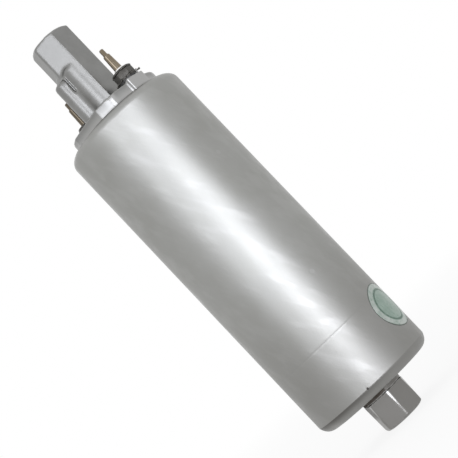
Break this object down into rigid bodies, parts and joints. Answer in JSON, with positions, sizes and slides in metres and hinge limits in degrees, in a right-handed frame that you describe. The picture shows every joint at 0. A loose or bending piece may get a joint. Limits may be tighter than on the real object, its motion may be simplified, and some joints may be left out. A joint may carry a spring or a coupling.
{
  "type": "inline fuel pump",
  "caption": "Inline electric fuel pump: gerotor pump pack and brush motor in a rolled metal casing, with hexagon ports and stud terminals.",
  "frame": {"origin": "centre of the inlet port's mouth, in the end face of the inlet hexagon", "axes": "+Z along the pump axis from inlet to outlet; +X towards the terminal that carries the dished washer"},
  "size_m": [0.0431, 0.043, 0.1606],
  "materials": {
    "casing_metal": "bead blasted, satin",
    "cast_metal": "die cast, tumbled",
    "seal_rubber": "matt",
    "bright_steel": "bright",
    "ground_steel": "ground",
    "sintered_iron": "sintered, matt",
    "bush_bronze": "oiled, satin",
    "dark_steel": "dark plated",
    "spring_steel": "drawn wire",
    "magnet_ferrite": "ceramic, matt",
    "core_iron": "stacked sheet, oiled",
    "winding_copper": "enamelled wire",
    "commutator_copper": "turned",
    "holder_plastic": "moulded, matt",
    "brush_carbon": "pressed carbon",
    "stud_brass": "turned, aged",
    "sleeve_plastic": "moulded, matt",
    "sticker_foil": "printed foil"
  },
  "bodies": {
    "pump_body": {"casing": "casing_metal", "inlet_fitting": "cast_metal", "inlet_seal_ring": "seal_rubber", "inlet_strainer": "bright_steel", "inlet_plate": "ground_steel", "pump_ring": "ground_steel", "outlet_plate": "ground_steel", "plate_bush": "bush_bronze", "pump_screws": "dark_steel", "dowel_pins": "bright_steel", "relief_plug": "stud_brass", "relief_spring": "spring_steel", "flux_ring": "ground_steel", "magnet_front": "magnet_ferrite", "magnet_back": "magnet_ferrite", "magnet_clips": "spring_steel", "brush_holder": "holder_plastic", "shaft_bush": "bush_bronze", "brush_spring_right": "spring_steel", "brush_spring_left": "spring_steel", "terminal_straps": "stud_brass", "outlet_cap": "cast_metal", "cap_seal_ring": "seal_rubber", "stud_right": "stud_brass", "stud_left": "stud_brass", "terminal_sleeves": "sleeve_plastic", "insulating_washers": "sleeve_plastic", "lock_washers": "dark_steel", "terminal_nuts": "dark_steel", "dished_washer": "dark_steel", "valve_spring": "spring_steel", "valve_cage": "stud_brass", "round_sticker": "sticker_foil"},
    "armature": {"armature_shaft": "bright_steel", "thrust_washer": "bush_bronze", "armature_core": "core_iron", "armature_windings": "winding_copper", "commutator": "commutator_copper", "inner_rotor": "sintered_iron"},
    "ring_rotor": {"outer_rotor": "sintered_iron"},
    "right_brush": {"brush_right": "brush_carbon"},
    "left_brush": {"brush_left": "brush_carbon"},
    "check_valve": {"valve_poppet": "stud_brass", "valve_seal": "seal_rubber"},
    "relief_valve": {"relief_ball": "bright_steel"}
  },
  "joints": [
    {"name": "armature_spin", "type": "hinge", "parent": "pump_body", "child": "armature", "pos_m": [0, 0, 0.07], "axis": [0, 0, 1], "continuous": true},
    {"name": "ring_rotor_spin", "type": "hinge", "parent": "pump_body", "child": "ring_rotor", "pos_m": [-0.0012, 0, 0.0321], "axis": [0, 0, 1], "continuous": true},
    {"name": "right_brush_slide", "type": "slide", "parent": "pump_body", "child": "right_brush", "axis": [0, 0, 1], "range_m": [0, 0.003], "stiffness_N_per_m": 200, "springref_m": -0.006, "deforming": ["brush_spring_right"]},
    {"name": "left_brush_slide", "type": "slide", "parent": "pump_body", "child": "left_brush", "axis": [0, 0, 1], "range_m": [0, 0.003], "stiffness_N_per_m": 200, "springref_m": -0.006, "deforming": ["brush_spring_left"]},
    {"name": "check_valve_lift", "type": "slide", "parent": "pump_body", "child": "check_valve", "axis": [0, 0, 1], "range_m": [0, 0.002], "stiffness_N_per_m": 150, "springref_m": -0.004, "deforming": ["valve_spring"]},
    {"name": "relief_valve_drop", "type": "slide", "parent": "pump_body", "child": "relief_valve", "axis": [0, 0, -1], "range_m": [0, 0.0015], "stiffness_N_per_m": 400, "springref_m": -0.002, "deforming": ["relief_spring"]}
  ],
  "couplings": [
    {"joint": "ring_rotor_spin", "follows": "armature_spin", "ratio": 0.85714}
  ]
}
